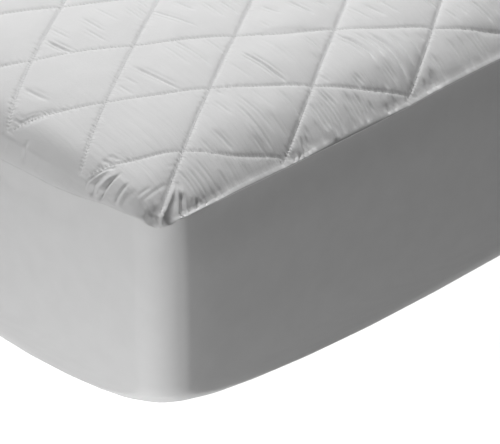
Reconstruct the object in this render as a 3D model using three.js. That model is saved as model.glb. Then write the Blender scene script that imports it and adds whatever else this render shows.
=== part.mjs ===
// A fitted, quilted mattress protector on a single mattress, in millimetres.
// X runs across the width, Y along the length, Z up. The origin is the middle of the footprint on the floor.
import * as THREE from "three";

// Driving dimensions
const WIDTH = 900;
const LENGTH = 1900;
const STITCH_HEIGHT = 280; // level of the quilting's stitched crossings in the middle of the top
const CORNER_RADIUS = 36; // upright corners of the mattress, in plan

// Quilting: diamonds between two families of straight stitched lines
const DIAMOND_HALF_LENGTH = 79.4; // along Y
const DIAMOND_HALF_WIDTH = 51.9; // along X
const CELLS_PER_HALF = 3; // steps of the surface in each half diagonal
const PUFF = 7; // height of a diamond's middle over its stitches
const PUFF_SHARPNESS = 0.6; // below 1, a diamond is full near its stitches
const CROSSING_COLUMN = 20; // a stitched crossing, counted in steps from the middle
const CROSSING_ROW = -30;
const QUILT_THICKNESS = 5.5; // at the stitches
const QUILT_EDGE_INSET = 4; // where the quilted face turns down to the seam
const QUILT_LIP = 5; // width of the quilt's folded lower edge
const QUILT_EDGE_RISE = 0.8; // least height of the face's edge over the lip

// How the top rolls down to its edges: depth at the edge and reach inwards
const LONG_SIDE_ROLL = { depth: 40, reach: 44 };
const SHORT_SIDE_ROLL = { depth: 31, reach: 61 };
const ROLL_BLEND = 2.5; // exponent that joins the two rolls at a corner

// Seam between the quilted top and the skirt
const SEAM_HEIGHT = 240.5;
const SEAM_GAP = 0.4;
const TAPE = { height: 2.4, proud: 0.7, width: 3.5 };
const SEAM_DIP = [
  { column: 24, dip: 0 },
  { column: 22, dip: 4 },
  { column: 20, dip: 12 },
  { column: 18, dip: 17.5 },
  { column: 16, dip: 19.5 },
  { column: 14, dip: 22 },
  { column: 6, dip: 24 },
  { column: 0, dip: 24 },
];

// Skirt: stretch cloth round the sides, drawn in under the mattress by its hem
const SKIRT_THICKNESS = 2;
const BOTTOM_EDGE_RADIUS = 19;
const CORNER_PULL = { across: 447, along: 702, height: 58.3, exponent: 1.94, most: 0.85 };
const SKIRT_UPPER_RINGS = [
  { belowSeam: TAPE.height / 2 + SEAM_GAP, inset: 1.5 },
  { belowSeam: 14, inset: 0.4 },
];
const SKIRT_WALL_HEIGHTS = [58, 34, 14, 3];
const HEM_RINGS = [
  { inset: 62, cornerAcross: 374, cornerAlong: 590 },
  { inset: 105, cornerAcross: 334, cornerAlong: 540 },
];
const CORNER_STEPS = 8;
const LONG_SIDE_STEPS = 16;

// Mattress: a plain block that fills the protector
const MATTRESS_CLEARANCE = 2.5; // to the skirt, all round
const MATTRESS_DROP = 3; // below the quilt
const ROLL_RINGS = [13, 26, 48, 85, 150]; // insets at which the rolled undersides have an edge

const HALF_WIDTH = WIDTH / 2;
const HALF_LENGTH = LENGTH / 2;
const CENTRE_X = HALF_WIDTH - CORNER_RADIUS;
const CENTRE_Y = HALF_LENGTH - CORNER_RADIUS;
const COLUMN_STEP = DIAMOND_HALF_WIDTH / CELLS_PER_HALF;
const ROW_STEP = DIAMOND_HALF_LENGTH / CELLS_PER_HALF;

// Height of the stitched surface over a point of the plan
function topHeight(x, y) {
  const acrossDrop = LONG_SIDE_ROLL.depth * Math.exp((Math.abs(x) - HALF_WIDTH) / LONG_SIDE_ROLL.reach);
  const alongDrop = SHORT_SIDE_ROLL.depth * Math.exp((Math.abs(y) - HALF_LENGTH) / SHORT_SIDE_ROLL.reach);
  const joined = acrossDrop ** ROLL_BLEND + alongDrop ** ROLL_BLEND;
  return STITCH_HEIGHT - joined ** (1 / ROLL_BLEND);
}

// Cloth that rolls over an edge is longer than its plan: distance along the cloth from the middle
function clothDistance(plan, half, roll) {
  const extra = roll.depth ** 2 / (4 * roll.reach);
  return plan + extra * Math.exp((2 * (plan - half)) / roll.reach);
}

// The place in plan of a point at a given distance along the cloth
function planDistance(cloth, half, roll) {
  let low = 0;
  let high = half;
  for (let step = 0; step < 40; step++) {
    const middle = (low + high) / 2;
    if (clothDistance(middle, half, roll) < cloth) low = middle;
    else high = middle;
  }
  return low;
}

// Height of a diamond's filling over its stitches, for a place counted in steps of the cloth
function puffAt(column, row) {
  const period = 2 * CELLS_PER_HALF;
  const across = column - CROSSING_COLUMN;
  const along = row - CROSSING_ROW;
  const first = Math.abs(Math.sin((Math.PI * (across + along)) / period));
  const second = Math.abs(Math.sin((Math.PI * (across - along)) / period));
  return PUFF * (first * second) ** PUFF_SHARPNESS;
}

// Seam height over a point of the plan: level, and lower along the middle of the short sides
const seamKnots = SEAM_DIP.map(({ column, dip }) => ({
  x: planDistance(column * COLUMN_STEP, HALF_WIDTH, LONG_SIDE_ROLL),
  z: SEAM_HEIGHT - dip,
}));

function seamHeight(x, y) {
  if (Math.abs(y) <= HALF_LENGTH - CORNER_RADIUS) return SEAM_HEIGHT;
  const reach = Math.abs(x);
  if (reach >= seamKnots[0].x) return SEAM_HEIGHT;
  const next = seamKnots.findIndex((knot) => knot.x <= reach);
  const outer = seamKnots[next - 1];
  const inner = seamKnots[next];
  return THREE.MathUtils.mapLinear(reach, inner.x, outer.x, inner.z, outer.z);
}

// A station is one place round the outline. side is its share of the way to the corner's centre, and normal points out.
function sideStation(x, y, normalX, normalY) {
  return { sideX: x / CENTRE_X, sideY: y / CENTRE_Y, normalX, normalY };
}

function cornerStation(signX, signY, normalX, normalY) {
  return { sideX: signX, sideY: signY, normalX, normalY };
}

// The station's point on an outline set in by inset, with the given corner radii
function stationPoint(station, inset, radiusX, radiusY, z) {
  const x = station.sideX * (HALF_WIDTH - inset - radiusX) + station.normalX * radiusX;
  const y = station.sideY * (HALF_LENGTH - inset - radiusY) + station.normalY * radiusY;
  return new THREE.Vector3(x, y, z);
}

// A ring parallel to the outline. heightOf gives each point's height.
const SMALLEST_RADIUS = 6;
function parallelRing(stations, inset, heightOf) {
  const radius = Math.max(CORNER_RADIUS - inset, SMALLEST_RADIUS);
  return stations.map((station) => {
    const point = stationPoint(station, inset, radius, radius, 0);
    const outer = stationPoint(station, 0, CORNER_RADIUS, CORNER_RADIUS, 0);
    point.z = heightOf(point.x, point.y, seamHeight(outer.x, outer.y));
    return point;
  });
}

// Stations of the skirt, the tape and the mattress, anticlockwise from above, starting on the +X side
function wallStations() {
  const shortSideX = seamKnots.map((knot) => knot.x);
  const acrossRight = [...shortSideX, ...shortSideX.slice(0, -1).reverse().map((x) => -x)];
  const stations = [];
  const addCorner = (signX, signY, startAngle) => {
    for (let step = 0; step <= CORNER_STEPS; step++) {
      const angle = startAngle + (Math.PI / 2) * (step / CORNER_STEPS);
      stations.push(cornerStation(signX, signY, Math.cos(angle), Math.sin(angle)));
    }
  };
  const addLongSide = (sign) => {
    for (let step = 1; step < LONG_SIDE_STEPS; step++) {
      const y = sign * CENTRE_Y * ((2 * step) / LONG_SIDE_STEPS - 1);
      stations.push(sideStation(sign * CENTRE_X, y, sign, 0));
    }
  };
  addLongSide(1);
  addCorner(1, 1, 0);
  acrossRight.forEach((x) => stations.push(sideStation(x, CENTRE_Y, 0, 1)));
  addCorner(-1, 1, Math.PI / 2);
  addLongSide(-1);
  addCorner(-1, -1, Math.PI);
  acrossRight.forEach((x) => stations.push(sideStation(-x, -CENTRE_Y, 0, -1)));
  addCorner(1, -1, 1.5 * Math.PI);
  return stations;
}

const everySecond = (items) => items.filter((_, index) => index % 2 === 0);

// Collects points and triangles of one closed surface
class Surface {
  constructor() {
    this.points = [];
    this.triangles = [];
  }

  addLoop(points) {
    const first = this.points.length;
    this.points.push(...points);
    return points.map((_, index) => first + index);
  }

  // Joins two loops of equal length. The first is the one further down, or further in on an underside.
  bridge(lower, upper) {
    lower.forEach((a, index) => {
      const next = (index + 1) % lower.length;
      this.triangles.push(a, lower[next], upper[next], a, upper[next], upper[index]);
    });
  }

  // Joins a loop to the one above it, which has twice as many points
  bridgeToDouble(lower, upper) {
    lower.forEach((a, index) => {
      const b = lower[(index + 1) % lower.length];
      const middle = upper[2 * index + 1];
      const end = upper[(2 * index + 2) % upper.length];
      this.triangles.push(a, b, middle, a, middle, upper[2 * index], b, end, middle);
    });
  }

  // Joins a run of loops, each one after the last
  bridgeAll(loops) {
    for (let index = 1; index < loops.length; index++) this.bridge(loops[index], loops[index - 1]);
  }

  cap(loop, facesUp) {
    const outline = loop.map((index) => new THREE.Vector2(this.points[index].x, this.points[index].y));
    for (const [a, b, c] of THREE.ShapeUtils.triangulateShape(outline, [])) {
      if (facesUp) this.triangles.push(loop[a], loop[b], loop[c]);
      else this.triangles.push(loop[a], loop[c], loop[b]);
    }
  }

  mesh(name, finish) {
    const geometry = new THREE.BufferGeometry().setFromPoints(this.points);
    geometry.setIndex(this.triangles);
    geometry.computeVertexNormals();
    const mesh = new THREE.Mesh(geometry, new THREE.MeshStandardMaterial(finish));
    mesh.name = name;
    return mesh;
  }
}

// Steps of the quilted face along one axis: every column or row that fits, and the face's two edges
function clothSteps(half, roll, step) {
  const edge = clothDistance(half - QUILT_EDGE_INSET, half, roll) / step;
  const last = Math.floor(edge - 0.3);
  const steps = [];
  for (let count = -last; count <= last; count++) steps.push(count);
  return [-edge, ...steps, edge];
}

// Turns the face's square corners into rounded ones
const FACE_RADIUS = CORNER_RADIUS - QUILT_EDGE_INSET;
function roundCorner(x, y) {
  const pastX = (Math.abs(x) - CENTRE_X) / FACE_RADIUS;
  const pastY = (Math.abs(y) - CENTRE_Y) / FACE_RADIUS;
  if (pastX <= 0 || pastY <= 0) return { x, y };
  return {
    x: Math.sign(x) * (CENTRE_X + FACE_RADIUS * pastX * Math.sqrt(1 - pastY ** 2 / 2)),
    y: Math.sign(y) * (CENTRE_Y + FACE_RADIUS * pastY * Math.sqrt(1 - pastX ** 2 / 2)),
  };
}

function stationAt(x, y) {
  const pastX = Math.abs(x) - CENTRE_X;
  const pastY = Math.abs(y) - CENTRE_Y;
  if (pastX > 0 && pastY > 0) {
    const length = Math.hypot(pastX, pastY);
    const signX = Math.sign(x);
    const signY = Math.sign(y);
    return cornerStation(signX, signY, (signX * pastX) / length, (signY * pastY) / length);
  }
  if (pastX > 0) return sideStation(Math.sign(x) * CENTRE_X, y, Math.sign(x), 0);
  return sideStation(x, Math.sign(y) * CENTRE_Y, 0, Math.sign(y));
}

// The quilted top: one filled piece with diamonds raised in its face, rolled down to the seam
function quiltedTop() {
  const surface = new Surface();
  const columns = clothSteps(HALF_WIDTH, LONG_SIDE_ROLL, COLUMN_STEP);
  const rows = clothSteps(HALF_LENGTH, SHORT_SIDE_ROLL, ROW_STEP);
  const signed = (steps, size, half, roll) =>
    Math.sign(steps) * planDistance(Math.abs(steps) * size, half, roll);
  const lastColumn = columns.length - 1;
  const lastRow = rows.length - 1;
  const aboveSeam = TAPE.height / 2 + SEAM_GAP;
  const lipAt = ({ x, y }) => {
    const outer = stationPoint(stationAt(x, y), 0, CORNER_RADIUS, CORNER_RADIUS, 0);
    return seamHeight(outer.x, outer.y) + aboveSeam;
  };
  const grid = rows.map((row, j) => {
    const loop = columns.map((column, i) => {
      const flat = roundCorner(
        signed(column, COLUMN_STEP, HALF_WIDTH, LONG_SIDE_ROLL),
        signed(row, ROW_STEP, HALF_LENGTH, SHORT_SIDE_ROLL),
      );
      const rolled = topHeight(flat.x, flat.y);
      const onEdge = i === 0 || j === 0 || i === lastColumn || j === lastRow;
      const z = onEdge ? Math.max(rolled, lipAt(flat) + QUILT_EDGE_RISE) : rolled + puffAt(column, row);
      return new THREE.Vector3(flat.x, flat.y, z);
    });
    return surface.addLoop(loop);
  });
  // Each cell is split along the diagonal that runs with its nearer stitched line
  const period = 2 * CELLS_PER_HALF;
  const offLine = (value) => Math.abs(value / period - Math.round(value / period));
  for (let j = 0; j < lastRow; j++) {
    for (let i = 0; i < lastColumn; i++) {
      const across = (columns[i] + columns[i + 1]) / 2 - CROSSING_COLUMN;
      const along = (rows[j] + rows[j + 1]) / 2 - CROSSING_ROW;
      const [a, b, c, d] = [grid[j][i], grid[j][i + 1], grid[j + 1][i + 1], grid[j + 1][i]];
      if (offLine(across - along) < offLine(across + along)) surface.triangles.push(a, b, c, a, c, d);
      else surface.triangles.push(a, b, d, b, c, d);
    }
  }
  const edge = [
    ...grid.slice(0, -1).map((row) => row[lastColumn]),
    ...grid[lastRow].slice(1).reverse(),
    ...grid.slice(1).map((row) => row[0]).reverse(),
    ...grid[0].slice(0, -1),
  ];
  const stations = edge.map((index) => stationAt(surface.points[index].x, surface.points[index].y));
  const turn = parallelRing(stations, 0, (x, y, seam) => {
    const lip = seam + aboveSeam;
    return lip + Math.max(0.7 * (topHeight(x, y) - lip), 0.4);
  });
  const lipOuter = parallelRing(stations, 0.5, (x, y, seam) => seam + aboveSeam);
  const outerLoops = [turn, lipOuter].map((ring) => surface.addLoop(ring));
  surface.bridgeAll([edge, ...outerLoops]);
  // The underside needs only every second station
  const coarse = everySecond(stations);
  const under = (x, y) => topHeight(x, y) - QUILT_THICKNESS;
  const lipInner = parallelRing(coarse, QUILT_LIP, (x, y, seam) => seam + aboveSeam);
  const inside = parallelRing(coarse, QUILT_LIP + 0.5, (x, y, seam) =>
    Math.max(under(x, y), seam + aboveSeam + 0.6),
  );
  const rings = ROLL_RINGS.map((inset) => parallelRing(coarse, inset, under));
  const underLoops = [lipInner, inside, ...rings].map((ring) => surface.addLoop(ring));
  surface.bridgeToDouble(underLoops[0], outerLoops[1]);
  surface.bridgeAll(underLoops);
  surface.cap(underLoops[underLoops.length - 1], false);
  return surface.mesh("quilted_top", { color: "#f1f1f0", roughness: 0.85, metalness: 0 });
}

// How far a corner is drawn in at a height over the floor, from 0 to 1
function cornerPull(z) {
  const share = Math.max(1 - z / CORNER_PULL.height, 0);
  return Math.min(1 - Math.sqrt(1 - share ** CORNER_PULL.exponent), CORNER_PULL.most);
}

// The skirt's outer face, as rings from the seam down and in under the mattress
function skirtRings(stations) {
  const rings = SKIRT_UPPER_RINGS.map(({ belowSeam, inset }) =>
    parallelRing(stations, inset, (x, y, seam) => seam - belowSeam),
  );
  const wallRing = (z) => {
    const depth = Math.max(BOTTOM_EDGE_RADIUS - z, 0);
    const inset = BOTTOM_EDGE_RADIUS - Math.sqrt(BOTTOM_EDGE_RADIUS ** 2 - depth ** 2);
    const radiusX = CORNER_RADIUS + CORNER_PULL.across * cornerPull(z);
    const radiusY = CORNER_RADIUS + CORNER_PULL.along * cornerPull(z);
    return stations.map((station) => stationPoint(station, inset, radiusX, radiusY, z));
  };
  rings.push(...[...SKIRT_WALL_HEIGHTS, 0].map(wallRing));
  HEM_RINGS.forEach(({ inset, cornerAcross, cornerAlong }) => {
    rings.push(stations.map((station) => stationPoint(station, inset, cornerAcross, cornerAlong, 0)));
  });
  return rings;
}

// The same rings moved inwards, square to the face, by a distance
function offsetRings(rings, distance) {
  const lastRing = rings.length - 1;
  return rings.map((ring, index) =>
    ring.map((point, place) => {
      const count = ring.length;
      const round = ring[(place + 1) % count].clone().sub(ring[(place + count - 1) % count]);
      const above = rings[Math.max(index - 1, 0)][place];
      const below = rings[Math.min(index + 1, lastRing)][place];
      const inward = round.cross(below.clone().sub(above)).normalize();
      if (index === 0) inward.setZ(0).normalize();
      if (index === lastRing) inward.set(0, 0, 1);
      return point.clone().addScaledVector(inward, distance);
    }),
  );
}

// The skirt: one sheet with its hem, closed round its thickness
function skirt(stations) {
  const surface = new Surface();
  const outer = skirtRings(stations);
  const inner = offsetRings(outer, SKIRT_THICKNESS).reverse();
  const loops = [...outer, ...inner].map((ring) => surface.addLoop(ring));
  surface.bridgeAll([...loops, loops[0]]);
  return surface.mesh("skirt", { color: "#ececeb", roughness: 0.7, metalness: 0 });
}

// The seam tape: a narrow raised strip all round, between the quilted top and the skirt
function seamTape(stations) {
  const surface = new Surface();
  const half = TAPE.height / 2;
  const corners = [
    { inset: -TAPE.proud, rise: half },
    { inset: -TAPE.proud, rise: -half },
    { inset: TAPE.width - TAPE.proud, rise: -half },
    { inset: TAPE.width - TAPE.proud, rise: half },
  ];
  const loops = corners.map(({ inset, rise }) =>
    surface.addLoop(parallelRing(stations, inset, (x, y, seam) => seam + rise)),
  );
  surface.bridgeAll([...loops, loops[0]]);
  return surface.mesh("seam_tape", { color: "#f7f7f6", roughness: 0.7, metalness: 0 });
}

// The mattress: it fills the skirt up to the quilt, with a small clearance
function mattress(stations) {
  const surface = new Surface();
  const offset = SKIRT_THICKNESS + MATTRESS_CLEARANCE;
  const wall = offsetRings(skirtRings(stations), offset).slice(1);
  const shoulderInset = QUILT_LIP + MATTRESS_CLEARANCE;
  const below = QUILT_THICKNESS + MATTRESS_DROP;
  const top = [shoulderInset, ...ROLL_RINGS].map((inset) =>
    parallelRing(stations, inset, (x, y) => topHeight(x, y) - below),
  );
  const loops = [...top.reverse(), ...wall].map((ring) => surface.addLoop(ring));
  surface.bridgeAll(loops);
  surface.cap(loops[0], true);
  surface.cap(loops[loops.length - 1], false);
  return surface.mesh("mattress", { color: "#e9e7e2", roughness: 0.9, metalness: 0 });
}

const stations = wallStations();
const group = new THREE.Group();
group.add(mattress(everySecond(stations)), quiltedTop(), seamTape(stations), skirt(stations));
export default group;
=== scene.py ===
# Looks of a quilted mattress protector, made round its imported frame.
# Shapes are worked out in millimetres, X across, Y along, Z up, and the meshes are in metres.
import math

import bpy
import numpy as np
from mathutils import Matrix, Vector
from mathutils.geometry import delaunay_2d_cdt


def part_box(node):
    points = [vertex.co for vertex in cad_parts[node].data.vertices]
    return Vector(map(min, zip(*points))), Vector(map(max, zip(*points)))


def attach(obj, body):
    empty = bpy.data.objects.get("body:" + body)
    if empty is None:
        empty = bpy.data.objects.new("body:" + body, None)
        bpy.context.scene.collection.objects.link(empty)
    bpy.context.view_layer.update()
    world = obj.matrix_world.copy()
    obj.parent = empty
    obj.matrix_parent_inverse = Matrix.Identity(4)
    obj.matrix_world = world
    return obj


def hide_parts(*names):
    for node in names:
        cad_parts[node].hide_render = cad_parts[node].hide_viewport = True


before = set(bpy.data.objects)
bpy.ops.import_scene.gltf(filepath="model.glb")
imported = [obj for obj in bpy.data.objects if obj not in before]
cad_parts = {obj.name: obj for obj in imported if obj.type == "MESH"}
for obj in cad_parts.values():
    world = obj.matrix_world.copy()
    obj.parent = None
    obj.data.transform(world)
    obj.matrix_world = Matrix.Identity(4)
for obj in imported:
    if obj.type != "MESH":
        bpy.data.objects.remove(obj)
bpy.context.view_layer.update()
MM = 0.001


def named(columns, row):
    """The values of a row under the names of their columns."""
    return dict(zip(columns.split(), row))


def table(columns, *rows):
    return [named(columns, row) for row in rows]


# Outline, from the frame: the quilted top's widest ring is the outline of the mattress
quilt_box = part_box("quilted_top")
HALF_WIDTH = round(quilt_box[1].x / MM, 1)
HALF_LENGTH = round(quilt_box[1].y / MM, 1)
CORNER_RADIUS = 36
SMALLEST_RADIUS = 6
CENTRE_X = HALF_WIDTH - CORNER_RADIUS
CENTRE_Y = HALF_LENGTH - CORNER_RADIUS

# Quilting, in cloth coordinates: across and along from the middle, measured along the cloth
STITCH_HEIGHT = 280
DIAMOND_HALF_WIDTH = 51.9
DIAMOND_HALF_LENGTH = 79.4
CROSSING_ACROSS = 346
CROSSING_ALONG = -794
DIAMOND_SIDE = math.hypot(DIAMOND_HALF_WIDTH, DIAMOND_HALF_LENGTH)
LINE_SPACING = 2 * DIAMOND_HALF_WIDTH * DIAMOND_HALF_LENGTH / DIAMOND_SIDE
# Points are laid out this far past the outline before those outside are left out
CLOTH_MARGIN = 30
LATTICE_REACH = math.ceil(
    (HALF_WIDTH + CLOTH_MARGIN) / (2 * DIAMOND_HALF_WIDTH)
    + (HALF_LENGTH + CLOTH_MARGIN) / (2 * DIAMOND_HALF_LENGTH)
)
# Stitched lines pulled off their straight course, in cloth coordinates of the corner at +X, -Y
STITCH_SHIFTS = table(
    "across along right forward spread",
    (216, -833, -2.2, 1.4, 30),
    (320, -675, 6, -4, 30),
    (320, -833, 2.4, -1.6, 28),
    (374, -908, 4.6, -3.1, 26),
    (423, -834, 4.4, -3, 30),
    (371, -595, 2.2, -1.5, 28),
    (371, -754, 1.3, -0.9, 28),
    (423, -675, 1, -0.7, 26),
    (242, -952, 0, 3.5, 30),
)
# Rounds that find a place whose own shift leads back to where it started
SHIFT_ROUNDS = 4

# The filling of a diamond, by the place of its middle: it stands higher towards the long sides, and low
# where the diamond runs over the edge
PUFF = table("across height", (190, 3.5), (294, 4.3), (346, 5.2), (398, 5.8), (440, 2.8))
PUFF_SHARPNESS = 0.55
PUFF_LEAN = 1.25
PUFF_EDGE_FADE = 12
PUFF_AT_LONG_SIDE = 0.7
LONG_SIDE_FADE = 60
# The lines that run up to the right in the camera's view ride up between the crossings
LINE_LIFT = 0.36
# Places where the filling is thicker or thinner than elsewhere
FILL_CHANGES = table(
    "across along change spread",
    (320, -675, 0.5, 34),
    (430, -606, 0.3, 26),
    (371, -595, -0.2, 28),
    (371, -754, -0.25, 28),
    (310, -870, -0.5, 85),
    (420, -840, -0.25, 30),
    (215, -840, -0.55, 52),
)
GROOVE_DEPTH = 0.75
GROOVE_WIDTH = 0.95
# The steeper lines in the camera's view are sewn in deeper
STEEP_GROOVE = 0.7
NEEDLE_DEPTH = 0.55
STITCHES_PER_SIDE = 27
# Small waves beside the stitching, whose pitch and height wander with the given waves
RIPPLE = {"height": 0.22, "reach": 6, "pitch": 7, "wander": 2, "wander_wave": 0.9, "height_wave": 0.53}
# Ripples and creases fade out within this distance of the stitching
CLEAR_OF_STITCHES = 2.2

CREASE_FADE = 0.28
CREASE_STRENGTH = 3.3
CREASE_NARROWING = 0.88
# A crease is left out beyond this many of its widths
CREASE_REACH = 3
# Fainter creases beside each crease of a diamond: apart from it, and their share of its height and length
CREASE_NEIGHBOURS = table("apart height starts_at ends_at", (4.3, 0.34, 0.12, 0.9), (-4.6, 0.3, 0.05, 0.8))
# The creases repeat round the rest of the top, a diamond further on at each turn. Waves of the turn and of
# the crease's number shift them along and change their heights
UNSEEN = {"turns": 13, "turns_from_far_end": 6, "drift": 5, "height": 1.2, "change": 0.5}
UNSEEN_WAVES = {"drift_by_turn": 2.3, "height_by_turn": 3.1, "height_by_crease": 1.7}
UNSEEN_CREASE_WIDTH = {"times": 2, "least": 3.8}

LONG_SIDE_ROLL = {"depth": 40, "reach": 44}
SHORT_SIDE_ROLL = {"depth": 31, "reach": 61}
ROLL_BLEND = 2.5
# Along the short sides the edge rolls over further, less so towards the corners
SHORT_EDGE_ROLL = {"depth": 9, "reach": 28, "ends_at": 405, "fade": 70}
# Cloth distances are turned into plan distances by a table, which goes on past the edge
PLAN_KNOTS = {"count": 4000, "past_edge": 5}
SLOPE_STEP = 0.5
FACE_INSET = 4
# Near its edge the face stays above its lip
FACE_OVER_LIP = {"least": 0.2, "slope": 0.3, "reach": 30}
SHOULDER = {"share": 0.25, "least": 0.4}
ROLL_SHARES = (0.12, 0.24, 0.38, 0.52, 0.66, 0.82, 0.97, 1)
CREASE_LOSS_AT_LIP = 0.5
# Small gathers round the edge of the quilted top, on the long sides
GATHERS = {"height": 0.28, "pitch": 5.6, "wander": 1.7, "wander_over": 3.7, "height_over": 5.3}
GATHERS_FROM_TIP = {"starts_at": 15, "fade": 30}
QUILT_THICKNESS = 5.5
# Inside its lip the quilted top goes up to its lower face
LIP = {"width": 5, "step": 0.5, "least_rise": 0.6}
UNDERSIDE_INSETS = (13, 26, 48, 85, 150)
UNDERSIDE_STATIONS = 12
UNDERSIDE_MIDDLE = {"across": (-200, 0, 200), "along": (-700, -350, 0, 350, 700)}

# Seam and tape
SEAM_HEIGHT = 240.5
TAPE_WIDTH = 3.5
TAPE_SECTION = {"sides": 8, "roundness": 0.6}
# The rib leans out over the skirt
TAPE_LEAN = 0.42
# How far the tape stands out and how thick it is, at distances along the outline from a corner's tip,
# positive along the long side: it shows on the long sides and is turned in elsewhere
TAPE_SHAPE = table("from_tip proud height gap", (44, -0.5, 0.2, 0.02), (72, 0.3, 2, 0.06))
# How the seam rises and droops, at the same distances
SEAM_RISE = table(
    "from_tip rise",
    (-36, 0),
    (-20, 1),
    (-9, -3.5),
    (0, -6),
    (9, -3),
    (20, 1),
    (60, 0.9),
    (85, 0.9),
    (115, 0),
    (160, -0.4),
    (215, -1),
    (290, -1.1),
    (340, 0.5),
    (410, 0.9),
    (600, -0.3),
    (942, 0),
)
# Dip of the seam along a short side, at distances across the cloth from the middle
SEAM_DIP = table(
    "across dip",
    (0, 24),
    (103.8, 24),
    (242.2, 22),
    (276.8, 19.5),
    (311.4, 17.5),
    (346, 12),
    (380.6, 4),
    (415.2, 0),
)
# A stitch of sewing thread: it lies a little in the cloth, and its ends dive into it
STITCH = {"length": 2.7, "width": 0.5, "sunk": 0.05, "dive": 0.3, "straight": 0.6}
STITCH_EDGE_INSET = 4

# Skirt
SKIRT_THICKNESS = 2
SKIRT_INSET = 0.4
# The long sides swell a little between the seam and the floor, from the corners on
SWELL = {"from_tip": 18, "to_tip": 62, "out": 1.9}
SWELL_BY_HEIGHT = table("z share", (12, 0), (95, 1), (190, 1), (236, 0))
BOTTOM_EDGE_RADIUS = 19
CORNER_PULL = {"across": 447, "along": 702, "height": 58.3, "exponent": 1.94, "most": 0.85}
SKIRT_BELOW_SEAM = (0, 0.15, 3, 6, 10, 17, 25)
SKIRT_HEIGHTS = (190, 175, 160, 145, 130, 115, 100, 78, 66, 58, 50, 42, 34, 27, 20, 14, 9, 5.5, 3, 1, 0)
HEM_RINGS = table(
    "inset across along",
    (40, 395.5, 612),
    (62, 374, 590),
    (84, 354, 565),
    (105, 334, 540),
)

# Fineness of the meshes: fine round the corner that the camera sees, plainer elsewhere
FINE_ACROSS = 75
FINE_ALONG = -445
# The camera's view ends at a slanting line across the top
FINE_LIMIT = {"across": 90, "along": -805, "slope": 1.14}
# Distances between the places round the outline
SIDE_STATION = {"fine": 1.5, "plain": 8, "last": 0.9}
CORNER_STATION = {"fine": 1.2, "plain": 4}
FINE_STEPS_PER_SIDE = 54
PLAIN_STEPS_PER_SIDE = 18
# Rows of vertices on both sides of each stitched line, which end near a crossing
FINE_FLANKS = (1.1, 2.3)
PLAIN_FLANKS = (2.4,)
FLANK_CLEAR = 1.05
GRIDS = table(
    "area across along clear",
    ("fine", 5.4, 0.95, 3.2),
    ("gathered", 1.5, 1.35, 3),
    ("plain", 11, 5.2, 4.6),
)
GATHERED_AREAS = table("across along", (236, -920), (402, -893))
# Least distance of the face's vertices from its edge, where the mesh is fine and where it is plain
EDGE_CLEAR = {"line": (0.9, 2), "flank": (1.2, 3), "grid": (1.6, 4)}
# Triangles are laid out in coordinates squeezed across, so they are longer that way
TRIANGLE_SQUEEZE = (0.3, 1)
SAME_PLACE = 1e-4
TINY = 1e-6


def top_height(x, y):
    """Height of the stitched surface over a point of the plan."""
    across = LONG_SIDE_ROLL["depth"] * np.exp((np.abs(x) - HALF_WIDTH) / LONG_SIDE_ROLL["reach"])
    along = SHORT_SIDE_ROLL["depth"] * np.exp((np.abs(y) - HALF_LENGTH) / SHORT_SIDE_ROLL["reach"])
    near_end = np.clip(1 - (HALF_LENGTH - np.abs(y)) / SHORT_EDGE_ROLL["reach"], 0, 1)
    off_corner = np.clip((SHORT_EDGE_ROLL["ends_at"] - np.abs(x)) / SHORT_EDGE_ROLL["fade"], 0, 1)
    roll = SHORT_EDGE_ROLL["depth"] * near_end**2 * off_corner
    return STITCH_HEIGHT - roll - (across**ROLL_BLEND + along**ROLL_BLEND) ** (1 / ROLL_BLEND)


def unit(vectors):
    return vectors / np.linalg.norm(vectors, axis=-1, keepdims=True)


def cloth_distance(plan, half, roll):
    """Distance along the cloth of a distance in plan, both from the middle."""
    extra = roll["depth"] ** 2 / (4 * roll["reach"])
    size = np.abs(plan)
    return np.sign(plan) * (size + extra * np.exp(2 * (size - half) / roll["reach"]))


def plan_distance(cloth, half, roll):
    """The inverse of cloth_distance."""
    plan = np.linspace(0, half + PLAN_KNOTS["past_edge"], PLAN_KNOTS["count"])
    return np.sign(cloth) * np.interp(np.abs(cloth), cloth_distance(plan, half, roll), plan)


def to_cloth(x, y):
    return cloth_distance(x, HALF_WIDTH, LONG_SIDE_ROLL), cloth_distance(y, HALF_LENGTH, SHORT_SIDE_ROLL)


def to_plan(across, along):
    return (
        plan_distance(across, HALF_WIDTH, LONG_SIDE_ROLL),
        plan_distance(along, HALF_LENGTH, SHORT_SIDE_ROLL),
    )


def stitch_shift(across, along):
    """How far the stitching is pulled off its straight course at a place."""
    right = np.zeros_like(across)
    forward = np.zeros_like(across)
    for row in STITCH_SHIFTS:
        for side in (1, -1):
            for end in (1, -1):
                apart = np.hypot(side * across - row["across"], -end * along - row["along"])
                weight = np.exp(-((apart / row["spread"]) ** 2))
                right += side * row["right"] * weight
                forward -= end * row["forward"] * weight
    return right, forward


def to_lattice(across, along):
    """Place in diamonds: stitched lines lie where either value is whole."""
    right, forward = stitch_shift(across, along)
    p = (across - right - CROSSING_ACROSS) / (2 * DIAMOND_HALF_WIDTH)
    q = (along - forward - CROSSING_ALONG) / (2 * DIAMOND_HALF_LENGTH)
    return p + q, p - q


def from_lattice(u, v):
    """The inverse of to_lattice."""
    straight_across = CROSSING_ACROSS + (u + v) * DIAMOND_HALF_WIDTH
    straight_along = CROSSING_ALONG + (u - v) * DIAMOND_HALF_LENGTH
    across, along = straight_across, straight_along
    for _ in range(SHIFT_ROUNDS):
        right, forward = stitch_shift(across, along)
        across, along = straight_across + right, straight_along + forward
    return across, along


def on_line(family, line, way):
    """Cloth coordinates of places along a line of one of the two families."""
    fixed = np.full_like(way, line)
    return np.column_stack(from_lattice(*((fixed, way) if family == 0 else (way, fixed))))


def off_line(share):
    """Distance to the nearest stitched line of one family."""
    return np.abs(share - np.round(share)) * LINE_SPACING


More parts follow.
